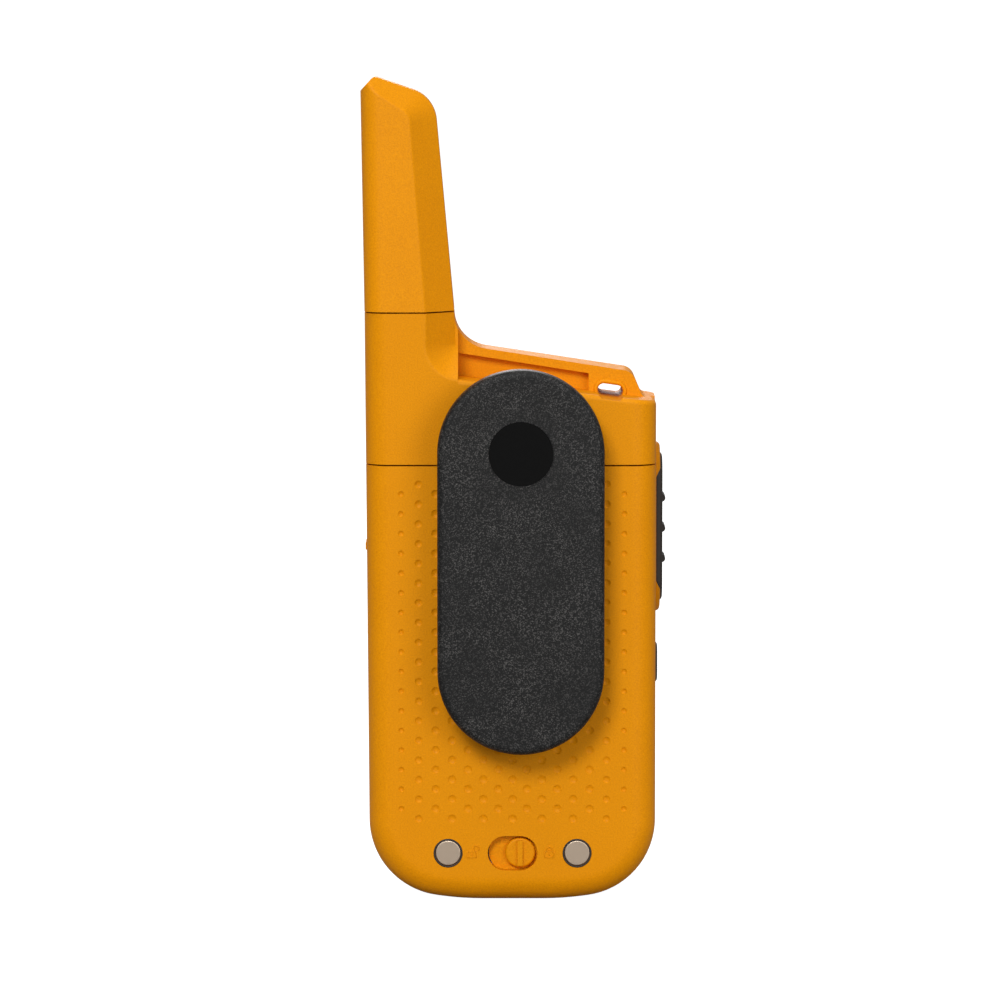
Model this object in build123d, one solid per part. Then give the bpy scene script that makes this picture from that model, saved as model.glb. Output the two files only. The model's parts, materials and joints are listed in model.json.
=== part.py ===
from build123d import *
import math
import os

# A hand-held two way radio standing upright: +Z up, antenna on the +X side, talk key on the -X side.
# The display faces -Y and the belt clip is on the +Y side. The origin is the centre of the base.
# All lengths are in millimetres.

# ---------------------------------------------------------------- driving dimensions
HALF_W = 28.4            # half width of the body at the talk key side and at the foot
FOOT_HALF = 10.0         # half width of the flat foot
FOOT_RISE = 2.45         # how far the underside rises towards the corners
CORNER_R = 15.5          # lower corners
COLUMN_X = 29.25         # outer edge of the antenna column at the antenna joint
COLUMN_IN_X = 11.6       # inner edge of the column at the antenna joint
COLUMN_Z = 117.0         # antenna joint
FRONT_Y = -15.0          # front face of the front housing
BACK_Y = 15.0            # back face of the door and of the upper back housing
PARTING_Y = 0.0          # front housing meets back housing
DOOR_Y = 6.0             # side edge of the battery door
SPLIT_Z = 87.2           # lower edge of the upper back housing
SEAM = 0.3               # gap at the door's upper edge
WALL = 2.0
FRONT_WALL = 2.4
BACK_EDGE_R = 5.0        # rounding between the sides and the back face
FRONT_EDGE_R = 3.2
SLOPE_START_Z = 94.0     # the front leans back above this height
COLUMN_FRONT_Y = -1.5    # front face of the column at the antenna joint

SHELF_Y = 5.2            # back of the thin top section, beside the strap slot
POCKET_Y = 3.0           # floor of the thumb pocket under the clip's upper end
POCKET_X = (-15.1, 10.8)
RIDGE_X = 17.2           # edge between the column's back face and its slanted facet
FACET_DEPTH = 5.5
SHOULDER_Z = 104.75      # height of the step below the pocket, where it meets the ridge
SHOULDER_SLOPE = 0.112
SOFT_R = 1.0             # rounding of the ridges and of the step
TOP_LINE_Z = 110.4       # height of the top edge where it meets the column
TOP_SLOPE = 0.1563
STRAP_SLOT = (-19.4, 101.2, 5.0, 2.4, 8.0)   # x, z, length, height, tilt in degrees

ANTENNA_TOP_Z = 163.5
ANTENNA_TIP_BACK_Y = 12.5
ANTENNA_TIP_FRONT_Y = 1.0
ANTENNA_AXIS = (21.2, 6.8)
ANTENNA_BORE_R = 3.7

CELL_R = 7.2
CELL_L = 49.5
CELL_PITCH = 14.8
CELL_Y = 5.8
BAY_X = 23.2             # half width of the battery bay
BAY_Z = (22.0, 78.0)
BAY_FLOOR_Y = -1.5
BAY_FLOOR_T = 1.4
TRAY_X = 26.2            # outer half width of the battery tray
TRAY_Y = 12.0            # height of the tray's walls
LOWER_SHELF_Y = 7.0      # back face of the tray above and below the bay
DOOR_T = 1.8

LATCH_Z = 9.8
LATCH_SLOT = (9.9, 6.9)  # length and height of the slot in the door
LATCH_TRAVEL = 3.0
LATCH_KNOB_R = 3.0
CONTACT_X = 12.8
CONTACT_R = 2.6

CLIP_X = -1.6            # centre line of the belt clip
CLIP_TOP_Z = 106.5
CLIP_R = 16.4
CLIP_L = 75.8
CLIP_OUT_Y = 24.6
CLIP_SKIRT_Y = 19.8
CLIP_PIVOT = (20.0, 95.0)    # y and z of the hinge pin
SWIVEL_R = 4.5
PIN_R = 1.1

TALK_Y = -6.9            # middle of the side controls, front to back
TALK_Z = 72.9
TALK_SIZE = (9.4, 30.2)
TALK_RIBS = (78.9, 72.8, 66.7)
SIDE_KEY_Z = 45.4
SIDE_KEY_SIZE = (5.0, 8.6)
PORT_Z = (49.4, 71.4)
PORT_W = 9.0
PORT_HINGE = (28.15, 50.6)   # x and z of the cover's hinge
JACK_R = 1.8

SCREEN_Z = 78.0
SCREEN = (33.0, 21.0)
KEYS = {"key_menu": (-13.0, 54.5), "key_call": (13.0, 54.5), "key_up": (0.0, 59.2), "key_down": (0.0, 49.8)}
KEY_R = 4.4
SPEAKER_Z = 27.0
SPEAKER_R = 14.0
MIC = (-10.5, 9.0)
LAMP_Z = 91.2
BOARD_Y = (-4.6, -3.4)
UI_BOARD_Y = (-9.4, -8.4)
SCREWS = [(-20.6, 84.2), (20.6, 84.2), (-20.5, 13.0), (20.5, 13.0)]
BIG = 400.0


# ---------------------------------------------------------------- helpers
def slab(face, y0, y1):
    """A flat outline drawn in X and Z, given thickness from y0 to y1."""
    return extrude(Plane.XZ.offset(-y1) * face, amount=y1 - y0)


def rounded(points, radii):
    """A closed outline with one rounding radius for each corner."""
    return make_face(FilletPolyline(*points, radius=radii, close=True))


def strip_face(points, thickness):
    """A bent strip seen edge on, lying to the left of its path."""
    back = []
    for i, (x, y) in enumerate(points):
        before = points[max(i - 1, 0)]
        after = points[min(i + 1, len(points) - 1)]
        dx, dy = after[0] - before[0], after[1] - before[1]
        size = math.hypot(dx, dy)
        back.append((x - dy / size * thickness, y + dx / size * thickness))
    return polygon(list(points) + back[::-1])


def polygon(points):
    return make_face(Polyline(*points, close=True))


def box(x0, x1, y0, y1, z0, z1):
    return Pos((x0 + x1) / 2, (y0 + y1) / 2, (z0 + z1) / 2) * Box(x1 - x0, y1 - y0, z1 - z0)


def rod_y(x, z, r, y0, y1):
    return Pos(x, (y0 + y1) / 2, z) * Rot(90, 0, 0) * Cylinder(r, y1 - y0)


def rod_x(y, z, r, x0, x1):
    return Pos((x0 + x1) / 2, y, z) * Rot(0, 90, 0) * Cylinder(r, x1 - x0)


def rod_z(x, y, r, z0, z1):
    return Pos(x, y, (z0 + z1) / 2) * Cylinder(r, z1 - z0)


def side_stadium(y, z, width, height, x0, x1):
    """An upright stadium shape drawn in Y and Z, given thickness from x0 to x1."""
    face = SlotOverall(height, width, rotation=90)
    return extrude(Plane(origin=(x0, y, z), x_dir=(0, 1, 0), z_dir=(1, 0, 0)) * face, amount=x1 - x0)


def edges_at_x(part, x, tol=0.01):
    return part.edges().filter_by(lambda e: all(abs(v.X - x) < tol for v in e.vertices()))


def edges_at_y(part, y, tol=0.01):
    return part.edges().filter_by(lambda e: all(abs(v.Y - y) < tol for v in e.vertices()))


def top_z(x):
    """Height of the sloping top edge."""
    return TOP_LINE_Z - (11.05 - x) * TOP_SLOPE


def shoulder_z(x):
    """Height of the step below the thumb pocket."""
    return SHOULDER_Z - (RIDGE_X - x) * SHOULDER_SLOPE


def body_face(inset=0.0):
    """The outline of the whole body below the antenna, drawn in X and Z."""
    points = [
        (-FOOT_HALF, 0), (FOOT_HALF, 0), (HALF_W, FOOT_RISE), (COLUMN_X, COLUMN_Z), (COLUMN_IN_X, COLUMN_Z),
        (11.05, TOP_LINE_Z), (-23.7, top_z(-23.7)), (-25.8, shoulder_z(-25.8)), (-HALF_W, shoulder_z(-HALF_W)),
        (-HALF_W, FOOT_RISE),
    ]
    radii = [60.0, 60.0, CORNER_R, 0, 0, 7.4, 2.8, 1.0, 0, CORNER_R]
    face = rounded(points, radii)
    return face if inset == 0 else offset(face, amount=-inset, kind=Kind.INTERSECTION).faces()[0]


def front_slope(depth=0.0):
    """What lies in front of the leaning upper front face, moved back by depth."""
    dy = COLUMN_FRONT_Y - FRONT_Y
    dz = COLUMN_Z - SLOPE_START_Z
    lean = math.hypot(dy, dz)
    shift = depth * lean / dz
    y0 = FRONT_Y + shift
    y1 = COLUMN_FRONT_Y + shift
    over = 3.0
    points = [
        (y0 - dy * over, SLOPE_START_Z - dz * over),
        (y1 + dy * over, COLUMN_Z + dz * over),
        (y0 - BIG, COLUMN_Z + dz * over),
    ]
    face = Plane(origin=(-BIG / 2, 0, 0), x_dir=(0, 1, 0), z_dir=(1, 0, 0)) * polygon(points)
    return extrude(face, amount=BIG)


def facet_tool(points, radii, depth):
    """Cuts a 45 degree facet down from the back face, starting at a ridge line."""
    outline = offset(rounded(points, radii), 1.0, kind=Kind.INTERSECTION)
    return extrude(Plane.XZ.offset(-BACK_Y - 1) * outline, amount=depth + 1, taper=45)


def stadium_xz(x, z, length, height, tilt=0.0):
    return Pos(x, z) * SlotOverall(length, height, rotation=tilt)


# ---------------------------------------------------------------- outer envelope
def envelope():
    """The whole body at full depth, rounded front and back, before its upper end is shaped."""
    points = [
        (-FOOT_HALF, 0), (FOOT_HALF, 0), (HALF_W, FOOT_RISE), (COLUMN_X, COLUMN_Z),
        (-HALF_W, COLUMN_Z), (-HALF_W, FOOT_RISE),
    ]
    face = rounded(points, [60.0, 60.0, CORNER_R, 0, 0, CORNER_R])
    block = slab(face, FRONT_Y, BACK_Y)
    block = fillet(below_joint(edges_at_y(block, BACK_Y)), BACK_EDGE_R)
    block -= front_slope()
    return fillet(block.edges().filter_by(is_front_rim), FRONT_EDGE_R)


def is_front_rim(edge):
    """Edges round the front face and up both sides of the leaning face, but not the fold between them."""
    on_front = all(v.Y < FRONT_Y + 0.01 or v.Z > SLOPE_START_Z + 1 for v in edge.vertices())
    is_fold = abs(edge.center().Z - SLOPE_START_Z) < 0.5
    return on_front and edge.center().Y < COLUMN_FRONT_Y and not is_fold


def below_joint(edges):
    return edges.filter_by(lambda e: min(v.Z for v in e.vertices()) < COLUMN_Z - 1)


# ---------------------------------------------------------------- housings
def grille_slots(y0, y1):
    """Seven level slots inside a circle, over the speaker."""
    slots = []
    for i in range(-3, 4):
        dz = i * 3.4
        length = 2 * math.sqrt(12.8**2 - dz**2)
        slots.append(slab(stadium_xz(0, SPEAKER_Z + dz, length, 1.5), y0, y1))
    return slots


def key_face(name, grow=0.0):
    x, z = KEYS[name]
    if name in ("key_menu", "key_call"):
        return Pos(x, z) * Circle(KEY_R + grow)
    return Pos(x, z) * SlotOverall(12.4 + 2 * grow, 6.6 + 2 * grow)


def panel_face(inset=0.0):
    points = [(-22.8, 6.2), (22.8, 6.2), (22.8, 93.6), (-22.8, 93.6)]
    face = rounded(points, [11.5, 11.5, 5.0, 5.0])
    return face if inset == 0 else offset(face, amount=-inset, kind=Kind.ARC).faces()[0]


def talk_rim():
    """The raised oval rim round the talk key, lower along the middle of its long sides."""
    width, height = TALK_SIZE
    rim = side_stadium(TALK_Y, TALK_Z, width + 4.0, height + 4.0, -HALF_W - 1.2, -HALF_W + 1.0)
    rim = fillet(edges_at_x(rim, -HALF_W - 1.2), 0.9)
    dip = polygon([(-HALF_W - 0.35, TALK_Z - 10.5), (-HALF_W - 0.35, TALK_Z + 10.5),
                   (-HALF_W - 2.5, TALK_Z + 15.0), (-HALF_W - 2.5, TALK_Z - 15.0)])
    return rim - slab(dip, TALK_Y - 10, TALK_Y + 10)


def front_housing():
    shell = envelope() & slab(body_face(), FRONT_Y, PARTING_Y)
    shell += talk_rim()
    cavity = slab(body_face(WALL), FRONT_Y + FRONT_WALL, PARTING_Y + 1) - front_slope(WALL)
    cavity -= box(-27, -14.8, -20, 2, 97.6, 110)       # solid lug round the strap slot
    shell -= cavity
    shell += box(24.9, 27.6, TALK_Y - 5.8, TALK_Y + 5.8, PORT_Z[0] - 1.5, PORT_Z[1] + 1.5)
    for x, z in SCREWS:
        shell += rod_y(x, z, 2.9, FRONT_Y + FRONT_WALL - 0.2, -0.4) & slab(body_face(WALL - 0.3), FRONT_Y, 0)
        shell -= rod_y(x, z, 1.05, FRONT_Y + FRONT_WALL + 1.0, 0)
    shell -= slab(panel_face(-0.1), FRONT_Y - 1, FRONT_Y + 1.15)
    shell -= slab(Pos(0, SCREEN_Z) * RectangleRounded(*SCREEN, 1.5), FRONT_Y - 1, FRONT_Y + 4)
    for name in KEYS:
        shell -= slab(key_face(name, 0.25), FRONT_Y - 1, FRONT_Y + 4)
    for slot in grille_slots(FRONT_Y - 1, FRONT_Y + 4):
        shell -= slot
    shell -= rod_y(*MIC, 0.7, FRONT_Y - 1, FRONT_Y + 4)
    shell -= rod_y(0, LAMP_Z, 1.15, FRONT_Y - 1, FRONT_Y + 4)
    shell -= side_stadium(TALK_Y, TALK_Z, TALK_SIZE[0] + 0.5, TALK_SIZE[1] + 0.5, -32, -25)
    shell -= side_stadium(TALK_Y, SIDE_KEY_Z, SIDE_KEY_SIZE[0] + 0.5, SIDE_KEY_SIZE[1] + 0.5, -32, -25)
    shell -= port_plate(0.15, 27.0, 31.0)
    shell -= rod_y(*PORT_HINGE, 0.45, TALK_Y - 5.2, TALK_Y + 5.2)
    shell -= rod_x(TALK_Y, 65.0, 2.9, 22, 30)
    shell -= box(22, 30, TALK_Y - 4.0, TALK_Y + 4.0, 55.0, 59.6)
    shell -= slab(strap_face(), FRONT_Y - 1, PARTING_Y + 1)
    groove = slab(body_face(0.6), -1.2, 1) - slab(body_face(1.5), -1.2, 1)
    return shell - groove


def strap_face():
    x, z, length, height, tilt = STRAP_SLOT
    return stadium_xz(x, z, length, height, tilt)


def shoulder_region(extra=0.0):
    """The part of the back that is stepped down: above the shoulder line and right of the column."""
    right = POCKET_X[1] + extra
    return polygon([(right, 130), (right, shoulder_z(right) - extra), (-40, shoulder_z(-40) - extra), (-40, 130)])


def column_facet():
    points = [(RIDGE_X + 0.1, 140), (RIDGE_X, SHOULDER_Z), (-40, shoulder_z(-40)), (-40, 140)]
    return facet_tool(points, [0, 7.0, 0, 0], FACET_DEPTH + 0.4)


def is_step(edge):
    """The step's outer edge, below the thumb pocket."""
    low, high = edge.bounding_box().min, edge.bounding_box().max
    on_line = abs(edge.center().Z - shoulder_z(edge.center().X)) < 0.1
    return on_line and low.Y > 9.9 and high.X < POCKET_X[1] + 0.1


def is_ridge(edge):
    """The column's ridge, from the antenna joint down to the step."""
    low, high = edge.bounding_box().min, edge.bounding_box().max
    return low.Y > BACK_Y - 0.01 and POCKET_X[1] + 0.1 < high.X < RIDGE_X + 0.3 and low.Z > 98


def is_sheath_ridge(edge):
    low, high = edge.bounding_box().min, edge.bounding_box().max
    return low.Z < COLUMN_Z + 1 and high.Z > 150 and high.X < 22.5 and high.Y > BACK_Y - 0.1


def upper_back():
    """The outer form of the back housing above the door."""
    form = envelope() & slab(body_face(), PARTING_Y, BACK_Y)
    form &= box(-40, 40, -1, 20, SPLIT_Z, 130)
    form -= column_facet() & box(POCKET_X[1], 40, 0, 20, 80, 140)
    form -= slab(shoulder_region(), SHELF_Y, 30)
    form = fillet(form.edges().filter_by(is_step), SOFT_R)
    return fillet(form.edges().filter_by(is_ridge), SOFT_R)


def back_housing():
    form = upper_back()
    pocket = [
        (POCKET_X[1], 99.0), (POCKET_X[1], top_z(POCKET_X[1]) - 1.7),
        (POCKET_X[0], top_z(POCKET_X[0]) - 1.7), (POCKET_X[0], 99.0),
    ]
    form -= slab(polygon(pocket) & shoulder_region(), POCKET_Y, 30)
    room = slab(body_face(WALL), -1, BACK_Y - WALL) & box(-40, 40, -20, 20, SPLIT_Z + 1.8, COLUMN_Z - 2)
    room -= slab(shoulder_region(WALL - 0.4), POCKET_Y - 1.8, 30)
    room -= column_facet_offset()
    room -= box(-27, -14.8, -20, 20, 97.6, 110)
    form -= room
    x, z = CLIP_X, CLIP_PIVOT[1]
    form += rod_y(x, z, 6.8, 10.6, BACK_Y - 0.5)
    form -= rod_y(x, z, SWIVEL_R + 0.08, 5, 20)
    form += rod_z(*ANTENNA_AXIS, 6.6, 108.5, COLUMN_Z - 1) & slab(body_face(1.0), 0.05, 13.5)
    form -= rod_z(*ANTENNA_AXIS, 5.3, 100, 130)
    form += tray()
    form -= slab(strap_face(), -1, 30)
    for x in (-11.0, 11.0):
        form -= box(x - 3.2, x + 3.2, 12.9, 14.05, SPLIT_Z - 0.5, 91)
    return form


def column_facet_offset():
    """Keeps the wall behind the slanted facet as thick as the rest."""
    points = [(RIDGE_X + 2.6, 140), (RIDGE_X + 2.6, SHOULDER_Z - 2.3), (-40, shoulder_z(-40) - 2.6), (-40, 140)]
    return facet_tool(points, [0, 9.0, 0, 0], 8.0) & box(POCKET_X[1] - 1.5, 40, 0, 20, 80, 140)


def tray():
    """The part of the back housing that the door covers: battery bay, shelves and rails."""
    lower = polygon([(-40, -5), (40, -5), (40, SPLIT_Z), (-40, SPLIT_Z)])
    skirt = slab(body_face() & lower, PARTING_Y, DOOR_Y - 0.2)
    core = slab(body_face(HALF_W - TRAY_X) & lower, PARTING_Y, LOWER_SHELF_Y)
    form = skirt + core
    walls = slab(body_face(HALF_W - TRAY_X), PARTING_Y, TRAY_Y)
    walls &= box(-40, 40, -20, 20, BAY_Z[0] - 1.6, BAY_Z[1] + 1.6)
    form += fillet(edges_at_y(walls, TRAY_Y).filter_by(lambda e: abs(e.center().X) > 20), 1.5)
    hollow = slab(body_face(WALL + 1.2) & lower, -1, LOWER_SHELF_Y - 1.8)
    form -= hollow
    bay = (BAY_X + 1.0, BAY_Z[0] - 1.4, BAY_Z[1] + 1.4)
    form += box(-bay[0], bay[0], BAY_FLOOR_Y - BAY_FLOOR_T, LOWER_SHELF_Y, bay[1], bay[2])
    form -= box(-BAY_X, BAY_X, BAY_FLOOR_Y, 30, *BAY_Z)
    for side in (-1, 1):
        form -= box(*sorted((side * (TRAY_X - 1.0), side * 27.6)), 9.0, 10.4, 2, 82)
    form += box(-3.3, 0.05, LOWER_SHELF_Y - 0.5, 9.9, 9.9, 11.3)          # catch for the latch
    for x, z in SCREWS:
        form += rod_y(x, z, 2.9, 0.0, LOWER_SHELF_Y) & slab(body_face(1.5), 0, LOWER_SHELF_Y)
        form -= rod_y(x, z, 1.5, -1, 20)
        form -= rod_y(x, z, 2.3, LOWER_SHELF_Y - 1.6, 20)
    return form


# ---------------------------------------------------------------- battery door
def battery_door():
    top = SPLIT_Z - SEAM
    lower = box(-40, 40, DOOR_Y, 20, -1, top)
    form = envelope() & lower
    inside = slab(body_face(DOOR_T), -5, BACK_Y - DOOR_T)
    inner_rim = edges_at_y(inside, BACK_Y - DOOR_T)
    inside = fillet(inner_rim.filter_by(lambda e: max(v.Z for v in e.vertices()) < 98), BACK_EDGE_R - DOOR_T)
    form -= inside
    for x in (-11.0, 11.0):
        form += box(x - 2.9, x + 2.9, 13.2, 13.9, 86.0, 90.2)
    for side in (-1, 1):
        form += box(*sorted((side * 25.5, side * 27.2)), 9.3, 10.1, 22, 79)
    form -= slab(stadium_xz(0, LATCH_Z, *LATCH_SLOT), 5, 20)
    for side in (-1, 1):
        form -= rod_y(side * CONTACT_X, LATCH_Z, CONTACT_R + 0.3, 5, 20)
        form += rod_y(side * CONTACT_X, LATCH_Z, 4.6, 11.6, 13.6) - rod_y(side * CONTACT_X, LATCH_Z, 3.5, 5, 20)
    for x, z in latch_posts():
        form += rod_y(x, z, 1.3, 10.2, 13.6)
    return form


def latch_posts():
    return [(x, LATCH_Z + dz) for x in (-8.4, 8.4) for dz in (-3.6, 3.6)]


def door_latch():
    """Round knob on a carriage, with the tongue that stops the door sliding down."""
    x = -LATCH_TRAVEL / 2
    knob = rod_y(x, LATCH_Z, LATCH_KNOB_R, 12.0, 14.3)
    knob = fillet(edges_at_y(knob, 14.3), 0.5)
    knob += box(x - 0.5, x + 0.5, 14.0, 15.0, LATCH_Z - 2.5, LATCH_Z + 2.5)
    carriage = slab(stadium_xz(x, LATCH_Z, 12.4, 8.0), 11.7, 13.05)
    tongue = box(x - 1.2, x + 1.2, 8.0, 12.0, 11.6, 13.1)
    nib = box(x - 0.5, x + 0.5, 11.9, 12.9, 13.5, 14.25)
    return knob + carriage + tongue + nib


def latch_keeper():
    """Plate that holds the carriage against the door, with a window for the tongue."""
    plate = slab(Pos(0, LATCH_Z + 0.4) * RectangleRounded(21.5, 11.6, 1.5), 10.4, 11.5)
    plate -= box(-4.6, 4.6, 9, 12, 11.0, 13.8)
    for x, z in latch_posts():
        plate -= rod_y(x, z, 1.35, 9, 12)
    return plate


def latch_detent():
    """Bent spring strip beside the carriage that gives the latch its two clicks."""
    points = [(-5.6, 15.0), (-1.2, 15.0), (0, 14.5), (1.2, 15.0), (5.6, 15.0)]
    return slab(strip_face(points, 0.28), 11.8, 12.9)


def charge_contact(side):
    x = side * CONTACT_X
    button = rod_y(x, LATCH_Z, CONTACT_R, 12.4, 14.75)
    button = fillet(edges_at_y(button, 14.75), 0.3)
    return button + rod_y(x, LATCH_Z, 3.35, 11.7, 13.05)


def charge_spring(side):
    """Leaf spring on the tray that touches the back of a charge contact."""
    x = side * CONTACT_X
    base = LOWER_SHELF_Y + 0.26
    points = [(base, -6.5), (base, 2.0), (9.0, 3.0), (11.3, 0.0), (10.2, -2.4)]
    strip = strip_face([(y, z + LATCH_Z) for y, z in points], 0.24)
    face = Plane(origin=(x - 1.4, 0, 0), x_dir=(0, 1, 0), z_dir=(1, 0, 0)) * strip
    return extrude(face, amount=2.8)


# ---------------------------------------------------------------- antenna
def coil(radius, pitch, height, wire_r):
    helix = Helix(pitch=pitch, height=height, radius=radius)
    start = Plane(origin=helix @ 0, z_dir=helix % 0)
    return sweep(start * Circle(wire_r), path=helix)


def antenna_face():
    """Outline that trims the sheath's top and inner side; its outer side is left alone."""
    points = [(33.0, COLUMN_Z + SEAM), (33.0, 157.4), (27.4, ANTENNA_TOP_Z), (15.44, 159.4),
              (COLUMN_IN_X, COLUMN_Z + SEAM)]
    return rounded(points, [0, 0, 1.0, 7.0, 0])


def outer_upright(form, y0, y1):
    """The sheath's long outer edges whose middles lie between y0 and y1."""
    long_edges = form.edges().filter_by(lambda e: e.bounding_box().size.Z > 30)
    return long_edges.filter_by(lambda e: e.center().X > COLUMN_X and y0 < e.center().Y < y1)


def antenna_sheath():
    """Hollow moulded sheath that tapers upwards, with a slanted facet down its inner back edge."""
    rise = ANTENNA_TOP_Z + 8 - (COLUMN_Z + SEAM)
    lean = (ANTENNA_TIP_BACK_Y - BACK_Y) / (ANTENNA_TOP_Z - COLUMN_Z)
    lean_front = (ANTENNA_TIP_FRONT_Y - COLUMN_FRONT_Y) / (ANTENNA_TOP_Z - COLUMN_Z)
    foot = Plane(origin=(0, 0, COLUMN_Z + SEAM)) * Rectangle(40, BACK_Y - COLUMN_FRONT_Y)
    foot = Pos(COLUMN_X - 20, (BACK_Y + COLUMN_FRONT_Y) / 2, 0) * foot
    top_back, top_front = BACK_Y + lean * rise, COLUMN_FRONT_Y + lean_front * rise
    top = Plane(origin=(0, 0, COLUMN_Z + SEAM + rise)) * Rectangle(40, top_back - top_front)
    top = Pos(COLUMN_X + 0.95 - 20, (top_back + top_front) / 2, 0) * top
    form = loft([foot.faces()[0], top.faces()[0]], ruled=True)
    form = fillet(outer_upright(form, 8, 20), 4.0)
    form = fillet(outer_upright(form, -5, 1.5), 2.5)
    form &= slab(antenna_face(), COLUMN_FRONT_Y - 1, BACK_Y + 1)
    ridge = [(15.1, 90), (20.45, 156.3), (40.5, 169.3), (40.5, 220), (-40, 220), (-40, 90)]
    facet = facet_tool(ridge, [0, 3.0, 0, 0, 0, 0], 8.0)
    tilt = Pos(0, BACK_Y, COLUMN_Z) * Rot(math.degrees(math.atan(-lean)), 0, 0) * Pos(0, -BACK_Y, -COLUMN_Z)
    form -= tilt * facet
    form = fillet(form.edges().filter_by(is_sheath_ridge), SOFT_R)
    form += rod_z(*ANTENNA_AXIS, 5.2, 111.0, COLUMN_Z + 1)
    return form - rod_z(*ANTENNA_AXIS, ANTENNA_BORE_R, 105, 154)


def antenna_coil():
    return Pos(*ANTENNA_AXIS, 122.0) * coil(2.8, 2.6, 28.6, 0.32)


def antenna_core():
    return rod_z(*ANTENNA_AXIS, 2.3, 118.2, 152.5)


def antenna_foot():
    """Brass foot that carries the coil and is soldered to the board's pad."""
    foot = rod_z(*ANTENNA_AXIS, 3.5, 104.0, 118.0)
    foot += rod_z(*ANTENNA_AXIS, 4.6, 102.6, 104.4)
    return foot - rod_z(*ANTENNA_AXIS, 1.2, 100.0, 110.0)


# ---------------------------------------------------------------- seal and screws
def housing_seal():
    return slab(body_face(0.65), -1.15, -0.05) - slab(body_face(1.45), -1.2, 0)


def housing_screw(x, z):
    head_y = LOWER_SHELF_Y - 1.55
    screw = rod_y(x, z, 2.1, head_y, head_y + 1.45)
    screw += rod_y(x, z, 1.4, -0.3, head_y) + rod_y(x, z, 1.05, -9.5, -0.3)
    for length, height in ((2.4, 0.6), (0.6, 2.4)):
        screw -= box(x - length / 2, x + length / 2, head_y + 0.7, head_y + 2, z - height / 2, z + height / 2)
    return screw


def housing_screws():
    return Compound([housing_screw(x, z).solids()[0] for x, z in SCREWS])


# ---------------------------------------------------------------- front panel
def faceplate():
    plate = slab(panel_face(), FRONT_Y, FRONT_Y + 1.1)
    plate -= slab(Pos(0, SCREEN_Z) * RectangleRounded(SCREEN[0], SCREEN[1], 1.5), FRONT_Y - 1, 0)
    for name in KEYS:
        plate -= slab(key_face(name, 0.25), FRONT_Y - 1, 0)
    for slot in grille_slots(FRONT_Y - 1, 0):
        plate -= slot
    plate -= rod_y(*MIC, 0.7, FRONT_Y - 1, 0)
    return plate - rod_y(0, LAMP_Z, 1.15, FRONT_Y - 1, 0)


def display_window():
    face = Pos(0, SCREEN_Z) * RectangleRounded(SCREEN[0] - 0.3, SCREEN[1] - 0.3, 1.35)
    return slab(face, FRONT_Y + 0.1, FRONT_Y + 1.9)


def display_module():
    module = slab(Pos(0, SCREEN_Z) * Rectangle(34.0, 24.0), -12.4, -9.45)
    return module - slab(Pos(0, SCREEN_Z) * Rectangle(30.0, 18.0), -12.5, -12.2)


def front_key(name):
    key = slab(key_face(name), FRONT_Y - 0.9, -12.0)
    key = fillet(edges_at_y(key, FRONT_Y - 0.9), 0.6)
    return key + slab(key_face(name, 0.9), -12.5, -11.7)


def keypad_membrane():
    sheet = slab(Pos(0, 54.5) * RectangleRounded(33.0, 19.0, 2.0), -10.2, -9.4)
    for x, z in KEYS.values():
        sheet += rod_y(x, z, 2.6, -11.0, -9.9)
    return sheet


def lamp_pipe():
    return rod_y(0, LAMP_Z, 1.05, FRONT_Y - 0.15, -9.6)


# ---------------------------------------------------------------- speaker and microphone
def speaker_frame():
    frame = rod_y(0, SPEAKER_Z, SPEAKER_R, -12.25, -8.4) - rod_y(0, SPEAKER_Z, SPEAKER_R - 1.2, -13, -9.2)
    return frame - rod_y(0, SPEAKER_Z, 7.5, -13, 0)


def speaker_cone():
    profile = [(12.7, -11.9), (12.7, -11.6), (11.2, -11.2), (6.2, -9.8), (6.2, -10.2), (11.0, -11.5)]
    face = Plane(origin=(0, 0, SPEAKER_Z), x_dir=(1, 0, 0), z_dir=(0, 0, 1)) * polygon(profile)
    cone = revolve(face, axis=Axis((0, 0, SPEAKER_Z), (0, 1, 0)), revolution_arc=360)
    return cone + rod_y(0, SPEAKER_Z, 6.4, -10.25, -9.85)


def speaker_magnet():
    return rod_y(0, SPEAKER_Z, 7.4, -9.6, -6.4) - rod_y(0, SPEAKER_Z, 1.5, -7.2, -6)


def speaker_cloth():
    return rod_y(0, SPEAKER_Z, 13.9, -12.6, -12.3)


def microphone():
    return rod_y(*MIC, 2.0, -11.9, -9.9)


def microphone_boot():
    boot = rod_y(*MIC, 2.9, -12.6, -9.4)
    return boot - rod_y(*MIC, 2.05, -11.95, -9.0) - rod_y(*MIC, 0.8, -13, -11)


# ---------------------------------------------------------------- side controls
def side_key(z, size, crown_x, flange_x):
    """A key in the talk key side of the body, held in by a flange inside the wall."""
    width, height = size
    key = side_stadium(TALK_Y, z, width, height, crown_x, flange_x + 0.4)
    key = fillet(edges_at_x(key, crown_x), 1.0)
    key += side_stadium(TALK_Y, z, width + 1.8, height + 1.8, flange_x, flange_x + 1.0)
    return key + rod_x(TALK_Y, z, 1.2, flange_x + 0.9, flange_x + 1.6)


def talk_key():
    key = side_key(TALK_Z, TALK_SIZE, -30.1, -26.3)
    for z in TALK_RIBS:
        rib = rod_y(-29.9, z, 0.8, TALK_Y - 3.4, TALK_Y + 3.4)
        key += rib
    return key


def side_button():
    return side_key(SIDE_KEY_Z, SIDE_KEY_SIZE, -29.2, -26.3)


def side_switch(z):
    switch = box(-23.3, -19.4, BOARD_Y[0] - 4.2, BOARD_Y[0], z - 3.0, z + 3.0)
    return switch + rod_x(TALK_Y, z, 1.0, -23.75, -23.0)


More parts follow.
